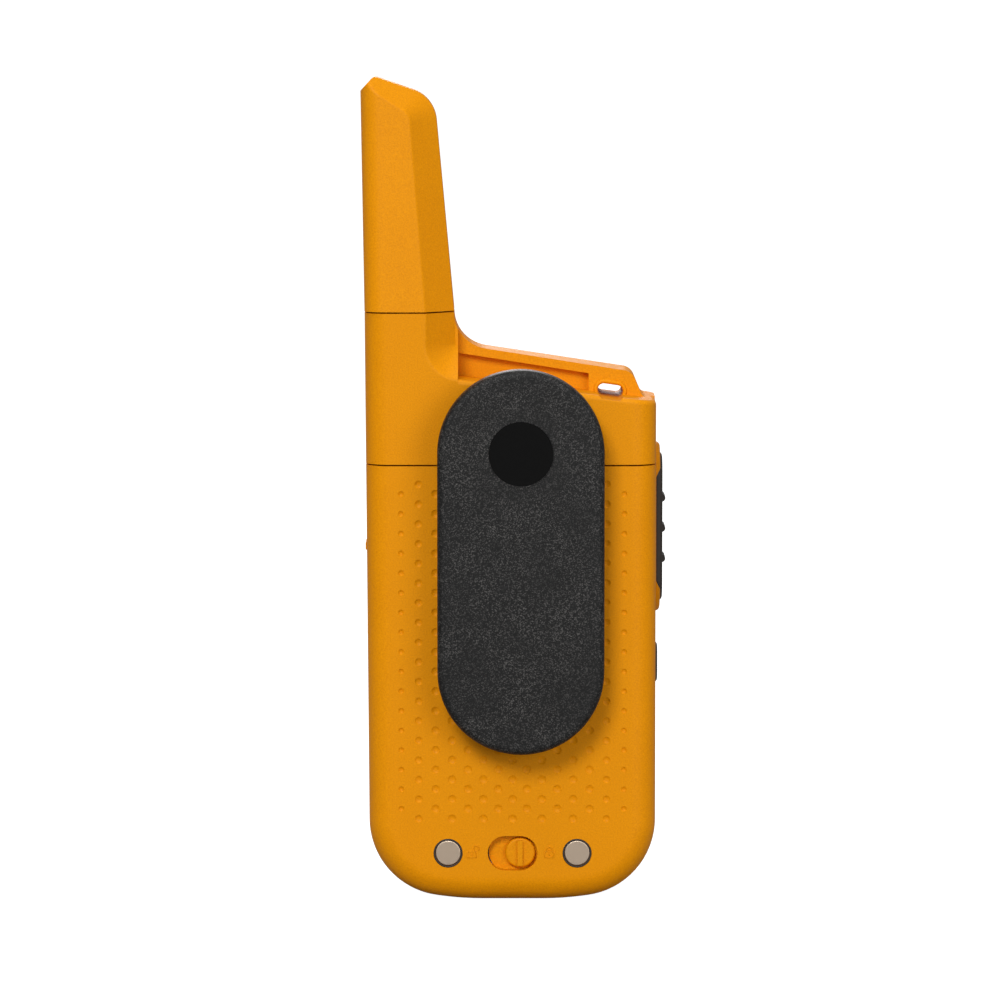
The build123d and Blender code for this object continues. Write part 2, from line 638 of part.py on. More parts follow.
# ---------------------------------------------------------------- ports
def port_cover():
    """Flap over the sockets, hinged at its lower end, with a finger grip at its upper end."""
    z0, z1 = PORT_Z
    plate = port_plate(-0.15, 27.2, 29.1) & box(20, 40, -20, 20, PORT_HINGE[1] + 1.0, z1)
    plate += box(27.2, 29.1, TALK_Y - 3.0, TALK_Y + 3.0, PORT_HINGE[1], PORT_HINGE[1] + 1.1)
    plate += rod_y(*PORT_HINGE, 0.95, TALK_Y - 3.0, TALK_Y + 3.0)
    grip = rod_y(28.9, z1 - 2.2, 0.9, TALK_Y - 3.2, TALK_Y + 3.2)
    plate += grip & box(27.5, 29.5, -20, 20, z0, z1)
    for z in (z1 - 3.9, z1 - 0.8):
        plate -= rod_y(29.3, z, 0.45, TALK_Y - 3.2, TALK_Y + 3.2)
    return plate - rod_y(*PORT_HINGE, 0.5, -20, 20)


def port_hinge_pin():
    return rod_y(*PORT_HINGE, 0.45, TALK_Y - 5.2, TALK_Y + 5.2)


def port_plate(grow, x0, x1):
    height = PORT_Z[1] - PORT_Z[0]
    face = RectangleRounded(PORT_W + 2 * grow, height + 2 * grow, 2.2)
    plane = Plane(origin=(x0, TALK_Y, sum(PORT_Z) / 2), x_dir=(0, 1, 0), z_dir=(1, 0, 0))
    return extrude(plane * face, amount=x1 - x0)


def audio_jack():
    jack = box(12.4, 24.8, BOARD_Y[0] - 4.7, BOARD_Y[0], 61.6, 68.4)
    jack += rod_x(TALK_Y, 65.0, 2.8, 24.0, 26.9)
    return jack - rod_x(TALK_Y, 65.0, JACK_R, 13.6, 30)


def usb_socket():
    socket = box(20.0, 26.8, TALK_Y - 3.8, BOARD_Y[0], 55.1, 59.5)
    socket -= box(21.2, 30, TALK_Y - 3.3, BOARD_Y[0] - 0.6, 55.6, 59.0)
    return socket + box(20.5, 26.0, TALK_Y - 2.6, -5.9, 57.0, 57.6)


# ---------------------------------------------------------------- boards
def main_board():
    outline = [(-23.4, 16.5), (23.4, 16.5), (23.4, 105.0), (-13.8, 105.0), (-13.8, 96.6), (-23.4, 96.6)]
    board = slab(polygon(outline), *BOARD_Y) & slab(body_face(WALL + 0.5), -10, 10)
    for x, z in SCREWS:
        board -= rod_y(x, z, 3.3, -10, 10)
    return board


def ui_board():
    board = slab(Pos(0, 69.5) * Rectangle(34.4, 47.0), *UI_BOARD_Y)
    return board - box(11.6, 20, *UI_BOARD_Y, 60.8, 69.2)


def board_link():
    return box(-9.0, 9.0, UI_BOARD_Y[1], BOARD_Y[0], 47.0, 51.0)


def rf_shield():
    can = slab(Pos(2.0, 84.0) * RectangleRounded(26.0, 22.0, 1.0), BOARD_Y[0] - 2.6, BOARD_Y[0])
    return can - slab(Pos(2.0, 84.0) * Rectangle(25.2, 21.2), BOARD_Y[0] - 2.2, BOARD_Y[0] + 1)


def transceiver_chip():
    return box(-4.0, 5.0, BOARD_Y[0] - 1.2, BOARD_Y[0], 80.0, 89.0)


def control_chip():
    return box(-7.0, 0.0, BOARD_Y[0] - 1.2, BOARD_Y[0], 60.0, 67.0)


def audio_amplifier():
    return box(6.0, 11.0, BOARD_Y[0] - 1.2, BOARD_Y[0], 24.0, 29.0)


# ---------------------------------------------------------------- batteries
def battery_cell(i):
    """A cylindrical cell; the middle one stands the other way up."""
    x = (i - 1) * CELL_PITCH
    z0 = BAY_Z[0] + 5.0 if i != 1 else BAY_Z[1] - 5.0 - CELL_L
    cell = rod_z(x, CELL_Y, CELL_R, z0, z0 + CELL_L)
    cell = fillet(cell.edges(), 0.5)
    nub = (z0 + CELL_L - 0.1, z0 + CELL_L + 1.0) if i != 1 else (z0 - 1.0, z0 + 0.1)
    return cell + rod_z(x, CELL_Y, 2.7, *nub)


def battery_springs():
    springs = []
    for i in range(3):
        x = (i - 1) * CELL_PITCH
        z = BAY_Z[0] + 0.45 if i != 1 else BAY_Z[1] - 4.65
        springs.append((Pos(x, CELL_Y, z) * coil(3.2, 1.4, 4.2, 0.35)).solids()[0])
    return Compound(springs)


def battery_plates():
    plates = []
    for i in range(3):
        x = (i - 1) * CELL_PITCH
        z = BAY_Z[1] - 0.45 if i != 1 else BAY_Z[0] + 0.05
        plates.append(box(x - 5.0, x + 5.0, CELL_Y - 4.5, CELL_Y + 4.5, z, z + 0.4).solids()[0])
    return Compound(plates)


# ---------------------------------------------------------------- belt clip
def clip_outline(inset=0.0):
    middle = CLIP_TOP_Z - CLIP_L / 2
    return Pos(CLIP_X, middle) * SlotOverall(CLIP_L - 2 * inset, 2 * (CLIP_R - inset), rotation=90)


def clip_base():
    """Turntable of the clip, with the two ears that carry the hinge pin."""
    y, z = CLIP_PIVOT
    base = rod_y(CLIP_X, z, 6.5, BACK_Y + 0.2, BACK_Y + 1.8) + rod_y(CLIP_X, z, SWIVEL_R, 10.6, BACK_Y + 1)
    for side in (-1, 1):
        x0, x1 = sorted((CLIP_X + side * 3.4, CLIP_X + side * 5.2))
        base += box(x0, x1, BACK_Y + 1, y, z - 2.1, z + 2.1) + rod_x(y, z, 2.1, x0, x1)
    return base - rod_x(y, z, PIN_R, CLIP_X - 8, CLIP_X + 8) - rod_y(CLIP_X, z, 1.4, 9, 14.5)


def clip_paddle():
    """Long outer lever of the clip, hollow underneath, with the hinge lugs and the toe."""
    y, z = CLIP_PIVOT
    paddle = slab(clip_outline(), CLIP_SKIRT_Y, CLIP_OUT_Y)
    paddle = fillet(edges_at_y(paddle, CLIP_OUT_Y), 1.3)
    paddle -= slab(clip_outline(1.9), CLIP_SKIRT_Y - 1, CLIP_OUT_Y - 2.0)
    for side in (-1, 1):
        x0, x1 = sorted((CLIP_X + side * 5.4, CLIP_X + side * 7.2))
        paddle += box(x0, x1, y, CLIP_OUT_Y - 1.9, z - 2.1, z + 2.1) + rod_x(y, z, 2.1, x0, x1)
    for dx in (-7.0, 0.0, 7.0):
        paddle += box(CLIP_X + dx - 0.6, CLIP_X + dx + 0.6, CLIP_SKIRT_Y + 0.6, CLIP_OUT_Y - 1.9, 39.0, 84.0)
    toe = [(CLIP_OUT_Y - 1.0, 34.0), (CLIP_SKIRT_Y, 32.6), (16.0, 33.6), (15.4, 34.6), (15.4, 36.0),
           (16.0, 37.0), (CLIP_SKIRT_Y, 41.5), (CLIP_OUT_Y - 1.0, 41.5)]
    face = Plane(origin=(CLIP_X - 9.5, 0, 0), x_dir=(0, 1, 0), z_dir=(1, 0, 0)) * polygon(toe)
    paddle += extrude(face, amount=19.0) & slab(clip_outline(1.0), 15, CLIP_OUT_Y - 0.5)
    paddle -= rod_x(y, z, PIN_R + 0.05, CLIP_X - 9, CLIP_X + 9)
    return paddle - rod_y(CLIP_X, CLIP_TOP_Z - CLIP_R, 6.45, CLIP_OUT_Y - 0.8, CLIP_OUT_Y + 1)


def clip_disc():
    return rod_y(CLIP_X, CLIP_TOP_Z - CLIP_R, 6.4, CLIP_OUT_Y - 0.8, CLIP_OUT_Y - 0.2)


def clip_pin():
    return rod_x(*CLIP_PIVOT, PIN_R, CLIP_X - 7.1, CLIP_X + 7.1)


def clip_spring():
    """Torsion spring round the hinge pin, with one leg on the turntable and one under the lever."""
    y, z = CLIP_PIVOT
    turns = Pos(CLIP_X - 2.4, y, z) * Rot(0, 90, 0) * coil(1.7, 0.8, 4.8, 0.3)
    legs = rod_z(CLIP_X - 2.4, y - 1.7, 0.3, z - 6.5, z) + rod_z(CLIP_X + 2.4, y + 1.7, 0.3, z - 9.0, z)
    return turns + legs


def clip_retainer():
    return rod_y(CLIP_X, CLIP_PIVOT[1], 5.0, 9.7, 10.5) - rod_y(CLIP_X, CLIP_PIVOT[1], 1.45, 9, 11)


def clip_screw():
    z = CLIP_PIVOT[1]
    return rod_y(CLIP_X, z, 2.6, 8.3, 9.65) + rod_y(CLIP_X, z, 1.35, 9.6, 14.2)


def main():
    os.makedirs("parts", exist_ok=True)
    for name, make in PARTS.items():
        export_step(make(), f"parts/{name}.step")


PARTS = {
    "front_housing": front_housing,
    "back_housing": back_housing,
    "housing_seal": housing_seal,
    "housing_screws": housing_screws,
    "faceplate": faceplate,
    "display_window": display_window,
    "display_module": display_module,
    "keypad_membrane": keypad_membrane,
    "lamp_pipe": lamp_pipe,
    "speaker_frame": speaker_frame,
    "speaker_cone": speaker_cone,
    "speaker_magnet": speaker_magnet,
    "speaker_cloth": speaker_cloth,
    "microphone": microphone,
    "microphone_boot": microphone_boot,
    "talk_key": talk_key,
    "side_button": side_button,
    "talk_switch": lambda: side_switch(TALK_Z),
    "side_button_switch": lambda: side_switch(SIDE_KEY_Z),
    "port_cover": port_cover,
    "port_hinge_pin": port_hinge_pin,
    "audio_jack": audio_jack,
    "usb_socket": usb_socket,
    "main_board": main_board,
    "ui_board": ui_board,
    "board_link": board_link,
    "rf_shield": rf_shield,
    "transceiver_chip": transceiver_chip,
    "control_chip": control_chip,
    "audio_amplifier": audio_amplifier,
    "battery_cell_left": lambda: battery_cell(0),
    "battery_cell_middle": lambda: battery_cell(1),
    "battery_cell_right": lambda: battery_cell(2),
    "battery_springs": battery_springs,
    "battery_plates": battery_plates,
    "battery_door": battery_door,
    "door_latch": door_latch,
    "latch_keeper": latch_keeper,
    "latch_detent": latch_detent,
    "charge_contacts": lambda: Compound([charge_contact(side).solids()[0] for side in (-1, 1)]),
    "charge_springs": lambda: Compound([charge_spring(side).solids()[0] for side in (-1, 1)]),
    "antenna_sheath": antenna_sheath,
    "antenna_coil": antenna_coil,
    "antenna_core": antenna_core,
    "antenna_foot": antenna_foot,
    "clip_base": clip_base,
    "clip_paddle": clip_paddle,
    "clip_disc": clip_disc,
    "clip_pin": clip_pin,
    "clip_spring": clip_spring,
    "clip_retainer": clip_retainer,
    "clip_screw": clip_screw,
}
for key_name in KEYS:
    PARTS[key_name] = lambda key_name=key_name: front_key(key_name)

if __name__ == "__main__":
    main()
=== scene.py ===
# A two way radio seen from behind: amber moulded body, dimpled battery door, black belt clip.
# Lengths are millimetres unless a name ends in _M or a comment says so; MM turns them into Blender's metres.
import json
import math

import bmesh
import bpy
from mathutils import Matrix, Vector


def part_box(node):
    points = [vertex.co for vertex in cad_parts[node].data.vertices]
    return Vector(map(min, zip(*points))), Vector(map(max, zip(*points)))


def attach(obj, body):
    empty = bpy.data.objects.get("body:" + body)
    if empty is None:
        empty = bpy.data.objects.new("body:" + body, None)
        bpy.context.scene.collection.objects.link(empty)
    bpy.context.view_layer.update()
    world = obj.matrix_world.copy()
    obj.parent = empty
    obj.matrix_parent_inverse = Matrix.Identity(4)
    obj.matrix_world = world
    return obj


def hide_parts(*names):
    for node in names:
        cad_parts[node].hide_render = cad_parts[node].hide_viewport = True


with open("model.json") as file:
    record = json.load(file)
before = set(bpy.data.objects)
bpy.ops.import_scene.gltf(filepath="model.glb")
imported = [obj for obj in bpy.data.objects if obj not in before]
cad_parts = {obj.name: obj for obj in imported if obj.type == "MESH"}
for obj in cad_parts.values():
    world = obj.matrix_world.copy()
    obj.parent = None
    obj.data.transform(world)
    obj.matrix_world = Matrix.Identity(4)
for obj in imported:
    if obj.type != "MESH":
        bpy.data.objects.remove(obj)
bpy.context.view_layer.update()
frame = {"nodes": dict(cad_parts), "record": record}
NODES = frame["nodes"]
MM = 0.001
BACK_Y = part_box("battery_door")[1][1] / MM      # back face of the body and of the battery door

# Dimples of the battery door, as whole numbers and metres.
DIMPLES = {
    "Columns each side": 7,
    "Rows": 18,
    "Column pitch": 2.8 * MM,
    "Column spread": 0.05 * MM,         # widens the pitch towards the door's sides
    "Row pitch": 3.92 * MM,
    "Stagger": 2.0 * MM,                # every other column starts this much higher
    "Lowest row": 16.7 * MM,
    "Width": 1.75 * MM,
    "Depth": 0.28 * MM,
    "Back face": BACK_Y * MM,
}
LENS_OUT = 0.6                          # a cutter's centre is this many depths outside the face
LENS_THICK = 3.2                        # it is this many depths thick, so it reaches one depth into the face
LENS_WIDER = 1.08                       # it is this much wider than the dimple that it leaves at the face
EDGE_SHRINK = 0.36                      # dimples of the outermost columns are smaller by this share
EDGE_POWER = 6.0                        # and the higher this is, the fewer columns shrink with them

STRAP_SLOT = (5.0, 2.4, 8.0)            # length, height and tilt in degrees
STRAP_RIM_R = 0.42
STRAP_RIM_OUT = 0.45                    # the rim's middle line runs this far outside the slot
SHELF_Y = 5.2                           # face of the shelf that the strap slot goes through
CONTACT_X = 12.8                        # charging contacts, each side of the middle
# Radius of the dark painted shade rings round the charging contacts.
CONTACT_SHADE_RING_R = 2.72
DISC_RIM_R = 6.45
OPEN_MARK_X = 8.1                       # padlock marks each side of the latch
SHUT_MARK_X = -7.3


# ---------------------------------------------------------------- small tools
def add(tree, kind, ins=None, **settings):
    """Adds a node: settings are its own properties, ins its inputs, as values or as another node's output."""
    node = tree.nodes.new(kind)
    for name, value in settings.items():
        setattr(node, name, value)
    for key, value in (ins or {}).items():
        if isinstance(value, bpy.types.NodeSocket):
            tree.links.new(value, node.inputs[key])
        else:
            node.inputs[key].default_value = value
    return node


def linear(hex_colour):
    """An sRGB hex colour as linear red, green and blue, and an alpha of 1."""
    parts = [int(hex_colour[i:i + 2], 16) / 255 for i in (1, 3, 5)]
    return (*[c / 12.92 if c <= 0.04045 else ((c + 0.055) / 1.055) ** 2.4 for c in parts], 1.0)


def per_metre(size_mm):
    """A texture's scale for a pattern whose features are size_mm across."""
    return 1.0 / (size_mm * MM)


def new_object(name, data):
    """An object in the scene."""
    thing = bpy.data.objects.new(name, data)
    bpy.context.scene.collection.objects.link(thing)
    return thing


def new_piece(name, data, material, body):
    """An object for a finished mesh, riding on a body."""
    piece = new_object(name, data)
    data.materials.clear()
    data.materials.append(material)
    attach(piece, body)
    return piece


def paint(material, *names):
    """Gives CAD nodes their material."""
    for name in names:
        data = NODES[name].data
        data.materials.clear()
        data.materials.append(material)


def finished_mesh(source, name):
    """The evaluated mesh of an object whose modifiers are done; the object goes."""
    graph = bpy.context.evaluated_depsgraph_get()
    graph.update()
    data = bpy.data.meshes.new_from_object(source.evaluated_get(graph), depsgraph=graph)
    data.name = name
    bpy.data.objects.remove(source)
    return data


# ---------------------------------------------------------------- materials
# A Mix node's colours share their sockets' names with its numbers, so they are reached by their place.
COLOUR_A, COLOUR_B, MIXED = 6, 7, 2
NOISE_SPAN = {"From Min": 0.30, "From Max": 0.70}       # where nearly all of a noise texture's values lie
FLOW_MM = 14.0                          # a moulding's colour drifts over this length, as its melt flowed
FLOW_SHARE = 0.15                       # and this much of its unevenness is that drift; the rest is grain


def new_material(name):
    """An empty node material: the material, its tree and its Object coordinates."""
    material = bpy.data.materials.new(name)
    material.use_nodes = True
    tree = material.node_tree
    tree.nodes.clear()
    return material, tree, add(tree, "ShaderNodeTexCoord").outputs["Object"]


def fine_grained(name, base, dark, grain_mm, relief_mm, rough, rough_span=0.10, ior=1.54, mottle=0.5,
                 specular=0.5):
    """A surface with one even fine grain in its colour, gloss and relief, as a spark-eroded mould leaves it.
    The grain breaks the highlights up, so that the eye reads satin or matt and not paint."""
    material, tree, place = new_material(name)
    grain = add(tree, "ShaderNodeTexNoise", {"Vector": place, "Scale": per_metre(grain_mm), "Detail": 2.0,
                                             "Roughness": 0.55})
    flow = add(tree, "ShaderNodeTexNoise", {"Vector": place, "Scale": per_metre(FLOW_MM), "Detail": 2.0})
    uneven = add(tree, "ShaderNodeMix", {"Factor": FLOW_SHARE, "A": grain.outputs["Fac"],
                                         "B": flow.outputs["Fac"]})
    tone = add(tree, "ShaderNodeMapRange", {"Value": uneven.outputs["Result"], **NOISE_SPAN,
                                            "To Min": 0.5 - mottle / 2, "To Max": 0.5 + mottle / 2})
    colour = add(tree, "ShaderNodeMix", {"Factor": tone.outputs[0], COLOUR_A: linear(dark),
                                         COLOUR_B: linear(base)}, data_type="RGBA")
    gloss = add(tree, "ShaderNodeMapRange", {"Value": grain.outputs["Fac"], **NOISE_SPAN,
                                             "To Min": rough - rough_span / 2,
                                             "To Max": rough + rough_span / 2})
    bump = add(tree, "ShaderNodeBump", {"Height": grain.outputs["Fac"], "Distance": relief_mm * MM})
    shader = add(tree, "ShaderNodeBsdfPrincipled", {"Base Color": colour.outputs[MIXED],
                                                    "Roughness": gloss.outputs[0], "Normal": bump.outputs[0],
                                                    "IOR": ior, "Specular IOR Level": specular})
    add(tree, "ShaderNodeOutputMaterial", {"Surface": shader.outputs[0]})
    return material


def nylon_with_painted_glints():
    """Black glass-filled nylon from a coarsely etched tool, with painted glints: one pit in three gets a
    lighter base colour that stands in for the light its tilted wall catches, so the clip looks like dark
    sandpaper with sparks in it."""
    material, tree, place = new_material("black_nylon_painted_glints")
    # The pits are a little under 0.2 mm across, and one in three of them carries a painted glint in its base
    # colour, the brightest ones seldom.
    pits = add(tree, "ShaderNodeTexVoronoi", {"Vector": place, "Scale": per_metre(0.17)})
    grit = add(tree, "ShaderNodeTexNoise", {"Vector": place, "Scale": per_metre(0.20), "Detail": 2.0})
    height = add(tree, "ShaderNodeMath", {0: pits.outputs["Distance"], 1: grit.outputs["Fac"]},
                 operation="ADD")
    chance = add(tree, "ShaderNodeSeparateColor", {"Color": pits.outputs["Color"]})
    painted_glint = add(tree, "ShaderNodeMapRange", {"Value": chance.outputs["Red"], "From Min": 0.66})
    # The painted glints are dimmer in patches about 7 mm across, as if handling had dulled them.
    patches = add(tree, "ShaderNodeTexNoise", {"Vector": place, "Scale": per_metre(7.0), "Detail": 2.0})
    bright = add(tree, "ShaderNodeMapRange", {"Value": patches.outputs["Fac"], "From Min": 0.35,
                                              "From Max": 0.65, "To Min": 0.35, "To Max": 0.75})
    painted_spark = add(tree, "ShaderNodeMath", {0: painted_glint.outputs[0], 1: bright.outputs[0]}, operation="MULTIPLY")
    # Painted highlight: a glinting pit's base colour goes from black towards pale grey.
    colour = add(tree, "ShaderNodeMix", {"Factor": painted_spark.outputs[0], COLOUR_A: linear("#090909"),
                                         COLOUR_B: linear("#62605e")}, data_type="RGBA")
    gloss = add(tree, "ShaderNodeMapRange", {"Value": chance.outputs["Green"], "To Min": 0.34,
                                             "To Max": 0.62})
    bump = add(tree, "ShaderNodeBump", {"Height": height.outputs[0], "Distance": 0.045 * MM})
    shader = add(tree, "ShaderNodeBsdfPrincipled", {"Base Color": colour.outputs[MIXED],
                                                    "Roughness": gloss.outputs[0], "Normal": bump.outputs[0],
                                                    "IOR": 1.53, "Specular IOR Level": 0.25})
    add(tree, "ShaderNodeOutputMaterial", {"Surface": shader.outputs[0]})
    return material


def hard_coated_acrylic():
    """Clear acrylic window: the display shows through it, under a sharp gloss with upright hairlines."""
    material, tree, place = new_material("hard_coated_acrylic")
    upright = add(tree, "ShaderNodeMapping", {"Vector": place, "Scale": (1.0, 1.0, 0.05)})
    hairlines = add(tree, "ShaderNodeTexNoise", {"Vector": upright.outputs[0], "Scale": per_metre(0.4)})
    gloss = add(tree, "ShaderNodeMapRange", {"Value": hairlines.outputs["Fac"], "To Min": 0.02,
                                             "To Max": 0.08})
    shader = add(tree, "ShaderNodeBsdfPrincipled", {"Base Color": linear("#dfe3e0"),
                                                    "Roughness": gloss.outputs[0],
                                                    "IOR": 1.49, "Transmission Weight": 1.0})
    add(tree, "ShaderNodeOutputMaterial", {"Surface": shader.outputs[0]})
    return material


def milky_polycarbonate():
    """Light pipe of hazy polycarbonate: it passes light and scatters some, so its end shows as a pale dot."""
    material, tree, place = new_material("milky_polycarbonate")
    haze = add(tree, "ShaderNodeTexNoise", {"Vector": place, "Scale": per_metre(0.8), "Detail": 2.0})
    gloss = add(tree, "ShaderNodeMapRange", {"Value": haze.outputs["Fac"], "To Min": 0.12, "To Max": 0.30})
    shader = add(tree, "ShaderNodeBsdfPrincipled", {"Base Color": linear("#eceae2"),
                                                    "Roughness": gloss.outputs[0],
                                                    "IOR": 1.58, "Transmission Weight": 0.6})
    add(tree, "ShaderNodeOutputMaterial", {"Surface": shader.outputs[0]})
    return material


def liquid_crystal_glass():
    """A liquid crystal display that is switched off: silvery green, with the fine grid between its dots."""
    material, tree, place = new_material("liquid_crystal_glass")
    dot_mm = 0.5
    apart = add(tree, "ShaderNodeSeparateXYZ", {"Vector": place})
    lines = []
    for axis in ("X", "Z"):
        turn = add(tree, "ShaderNodeMath", {0: apart.outputs[axis], 1: 2 * math.pi * per_metre(dot_mm)},
                   operation="MULTIPLY")
        wave = add(tree, "ShaderNodeMath", {0: turn.outputs[0]}, operation="COSINE")
        lines.append(add(tree, "ShaderNodeMapRange", {"Value": wave.outputs[0], "From Min": 0.80}).outputs[0])
    grid = add(tree, "ShaderNodeMath", {0: lines[0], 1: lines[1]}, operation="MAXIMUM")
    colour = add(tree, "ShaderNodeMix", {"Factor": grid.outputs[0], COLOUR_A: linear("#7d8474"),
                                         COLOUR_B: linear("#8b9282")}, data_type="RGBA")
    shader = add(tree, "ShaderNodeBsdfPrincipled", {"Base Color": colour.outputs[MIXED], "Roughness": 0.28,
                                                    "Metallic": 0.25, "IOR": 1.52})
    add(tree, "ShaderNodeOutputMaterial", {"Surface": shader.outputs[0]})
    return material


def cell_wrap(name, low, high):
    """Shrink film round a rechargeable cell: a green sleeve from low to high, and bright steel beyond it."""
    material, tree, place = new_material(name)
    apart = add(tree, "ShaderNodeSeparateXYZ", {"Vector": place})
    above = add(tree, "ShaderNodeMath", {0: apart.outputs["Z"], 1: low * MM}, operation="GREATER_THAN")
    below = add(tree, "ShaderNodeMath", {0: apart.outputs["Z"], 1: high * MM}, operation="LESS_THAN")
    film = add(tree, "ShaderNodeMath", {0: above.outputs[0], 1: below.outputs[0]}, operation="MULTIPLY")
    ink = add(tree, "ShaderNodeTexNoise", {"Vector": place, "Scale": per_metre(2.5), "Detail": 3.0})
    green = add(tree, "ShaderNodeMix", {"Factor": ink.outputs["Fac"], COLOUR_A: linear("#2f7d4a"),
                                        COLOUR_B: linear("#3d9159")}, data_type="RGBA")
    colour = add(tree, "ShaderNodeMix", {"Factor": film.outputs[0], COLOUR_A: linear("#c3c4c6"),
                                         COLOUR_B: green.outputs[MIXED]}, data_type="RGBA")
    steel = add(tree, "ShaderNodeMath", {0: 1.0, 1: film.outputs[0]}, operation="SUBTRACT")
    shader = add(tree, "ShaderNodeBsdfPrincipled", {"Base Color": colour.outputs[MIXED], "Roughness": 0.26,
                                                    "Metallic": steel.outputs[0]})
    add(tree, "ShaderNodeOutputMaterial", {"Surface": shader.outputs[0]})
    return material


def satin_metal(name, base, rough, grain_mm, relief_mm):
    """A plated or rolled metal with the faint grain of tumbling, so it shines softly and is no mirror."""
    material, tree, place = new_material(name)
    rough_span = 0.16
    grain = add(tree, "ShaderNodeTexNoise", {"Vector": place, "Scale": per_metre(grain_mm), "Detail": 4.0})
    gloss = add(tree, "ShaderNodeMapRange", {"Value": grain.outputs["Fac"], **NOISE_SPAN,
                                             "To Min": rough - rough_span / 2,
                                             "To Max": rough + rough_span / 2})
    bump = add(tree, "ShaderNodeBump", {"Height": grain.outputs["Fac"], "Distance": relief_mm * MM})
    shader = add(tree, "ShaderNodeBsdfPrincipled", {"Base Color": linear(base), "Metallic": 1.0,
                                                    "Roughness": gloss.outputs[0], "Normal": bump.outputs[0]})
    add(tree, "ShaderNodeOutputMaterial", {"Surface": shader.outputs[0]})
    return material


def glowing_paper():
    """A sweep of matt paper under the radio. It glows for the camera's own rays alone, so it is plain white
    as far as the horizon and yet throws little light up at the radio."""
    material, tree, place = new_material("white_paper")
    cockle = add(tree, "ShaderNodeTexNoise", {"Vector": place, "Scale": per_metre(30.0), "Detail": 2.0})
    colour = add(tree, "ShaderNodeMix", {"Factor": cockle.outputs["Fac"], COLOUR_A: linear("#828281"),
                                         COLOUR_B: linear("#8a8a89")}, data_type="RGBA")
    seen = add(tree, "ShaderNodeLightPath").outputs["Is Camera Ray"]
    shader = add(tree, "ShaderNodeBsdfPrincipled", {"Base Color": colour.outputs[MIXED], "Roughness": 0.9,
                                                    "IOR": 1.54, "Emission Color": linear("#ffffff"),
                                                    "Emission Strength": seen})
    add(tree, "ShaderNodeOutputMaterial", {"Surface": shader.outputs[0]})
    return material


# Pigmented ABS of the shells: a warm even orange, satin, with a fine sandy grain.
amber_abs = fine_grained("amber_abs", "#ee9a00", "#d88400", 0.30, 0.045, 0.46, mottle=0.8, specular=0.10)
# Soft rubber of the port cover: a little browner and duller than the shell round it.
amber_rubber = fine_grained("amber_rubber", "#e39000", "#cf8000", 0.35, 0.015, 0.62, ior=1.50, specular=0.12)
# Black ABS of the front and of the clip's turntable: satin, with a highlight that spreads.
black_abs = fine_grained("black_abs", "#1f1e1d", "#141313", 0.25, 0.02, 0.45)
# Moulded rubber of the keys: a warm brownish black, duller than the plastic beside it.
black_rubber = fine_grained("black_rubber", "#39312b", "#2c2620", 0.40, 0.015, 0.58, ior=1.50)
# Silicone of the seals: dark grey, nearly matt and slightly dusty.
black_silicone = fine_grained("black_silicone", "#222222", "#181818", 0.50, 0.01, 0.65, ior=1.41)
# Polished ABS of the disc on the clip: a deep black with one sharp soft-edged reflection.
polished_black = fine_grained("polished_black", "#060606", "#040404", 0.60, 0.002, 0.10, rough_span=0.04,
                              specular=0.16)
# Screen printing ink on the keys: a flat dense white.
printed_white = fine_grained("printed_white", "#f1efe9", "#e2dfd6", 0.30, 0.003, 0.55, ior=1.50)
# Acetal of the sliding pieces: waxy off-white.
white_acetal = fine_grained("white_acetal", "#e6e4de", "#d8d5cd", 0.40, 0.005, 0.40, ior=1.48)
# Glass-epoxy laminate under solder mask: a glossy bottle green with a cloudy weave.
green_laminate = fine_grained("green_laminate", "#1e5a34", "#123f24", 0.80, 0.004, 0.35)
# Filled epoxy of the chips and switches: a fine dull charcoal.
black_epoxy = fine_grained("black_epoxy", "#1c1c1e", "#121214", 0.15, 0.01, 0.55)
# Felted cloth over the speaker, and its paper cone: fibrous, and the deepest matt black of all.
black_cloth = fine_grained("black_cloth", "#181818", "#050505", 0.30, 0.08, 0.90)
clip_nylon = nylon_with_painted_glints()
acrylic = hard_coated_acrylic()
light_pipe = milky_polycarbonate()
display_glass = liquid_crystal_glass()
# Nickel plate on the contacts: a warm pale grey satin, brighter than anything round it.
satin_nickel = satin_metal("satin_nickel", "#d0bda8", 0.42, 0.25, 0.01)
# Zinc plated steel of the fastenings: a cooler, shinier grey.
zinc_steel = satin_metal("zinc_steel", "#b9bcc0", 0.33, 0.20, 0.006)
# Phosphor bronze of the springs: a coppery shine.
phosphor_bronze = satin_metal("phosphor_bronze", "#c08a52", 0.30, 0.20, 0.004)

paint(amber_abs, "front_housing", "back_housing", "antenna_sheath", "door_latch")
paint(amber_rubber, "port_cover")
paint(black_abs, "faceplate", "clip_base", "speaker_frame", "audio_jack")
paint(black_rubber, "talk_key", "side_button", "key_menu", "key_call", "key_up", "key_down",
      "keypad_membrane")
paint(black_silicone, "housing_seal", "microphone_boot")
paint(polished_black, "clip_disc")
paint(white_acetal, "latch_keeper", "antenna_core")
paint(green_laminate, "main_board", "ui_board")
paint(black_epoxy, "talk_switch", "side_button_switch", "board_link", "transceiver_chip", "control_chip",
      "audio_amplifier")
paint(black_cloth, "speaker_cone", "speaker_cloth")
paint(clip_nylon, "clip_paddle")
paint(satin_nickel, "charge_contacts", "usb_socket", "microphone", "battery_springs", "battery_plates")
paint(zinc_steel, "housing_screws", "rf_shield", "speaker_magnet", "port_hinge_pin", "latch_detent",
      "clip_pin", "clip_spring", "clip_retainer", "clip_screw")
paint(phosphor_bronze, "antenna_coil", "antenna_foot", "charge_springs")
paint(acrylic, "display_window")
paint(light_pipe, "lamp_pipe")
paint(display_glass, "display_module")

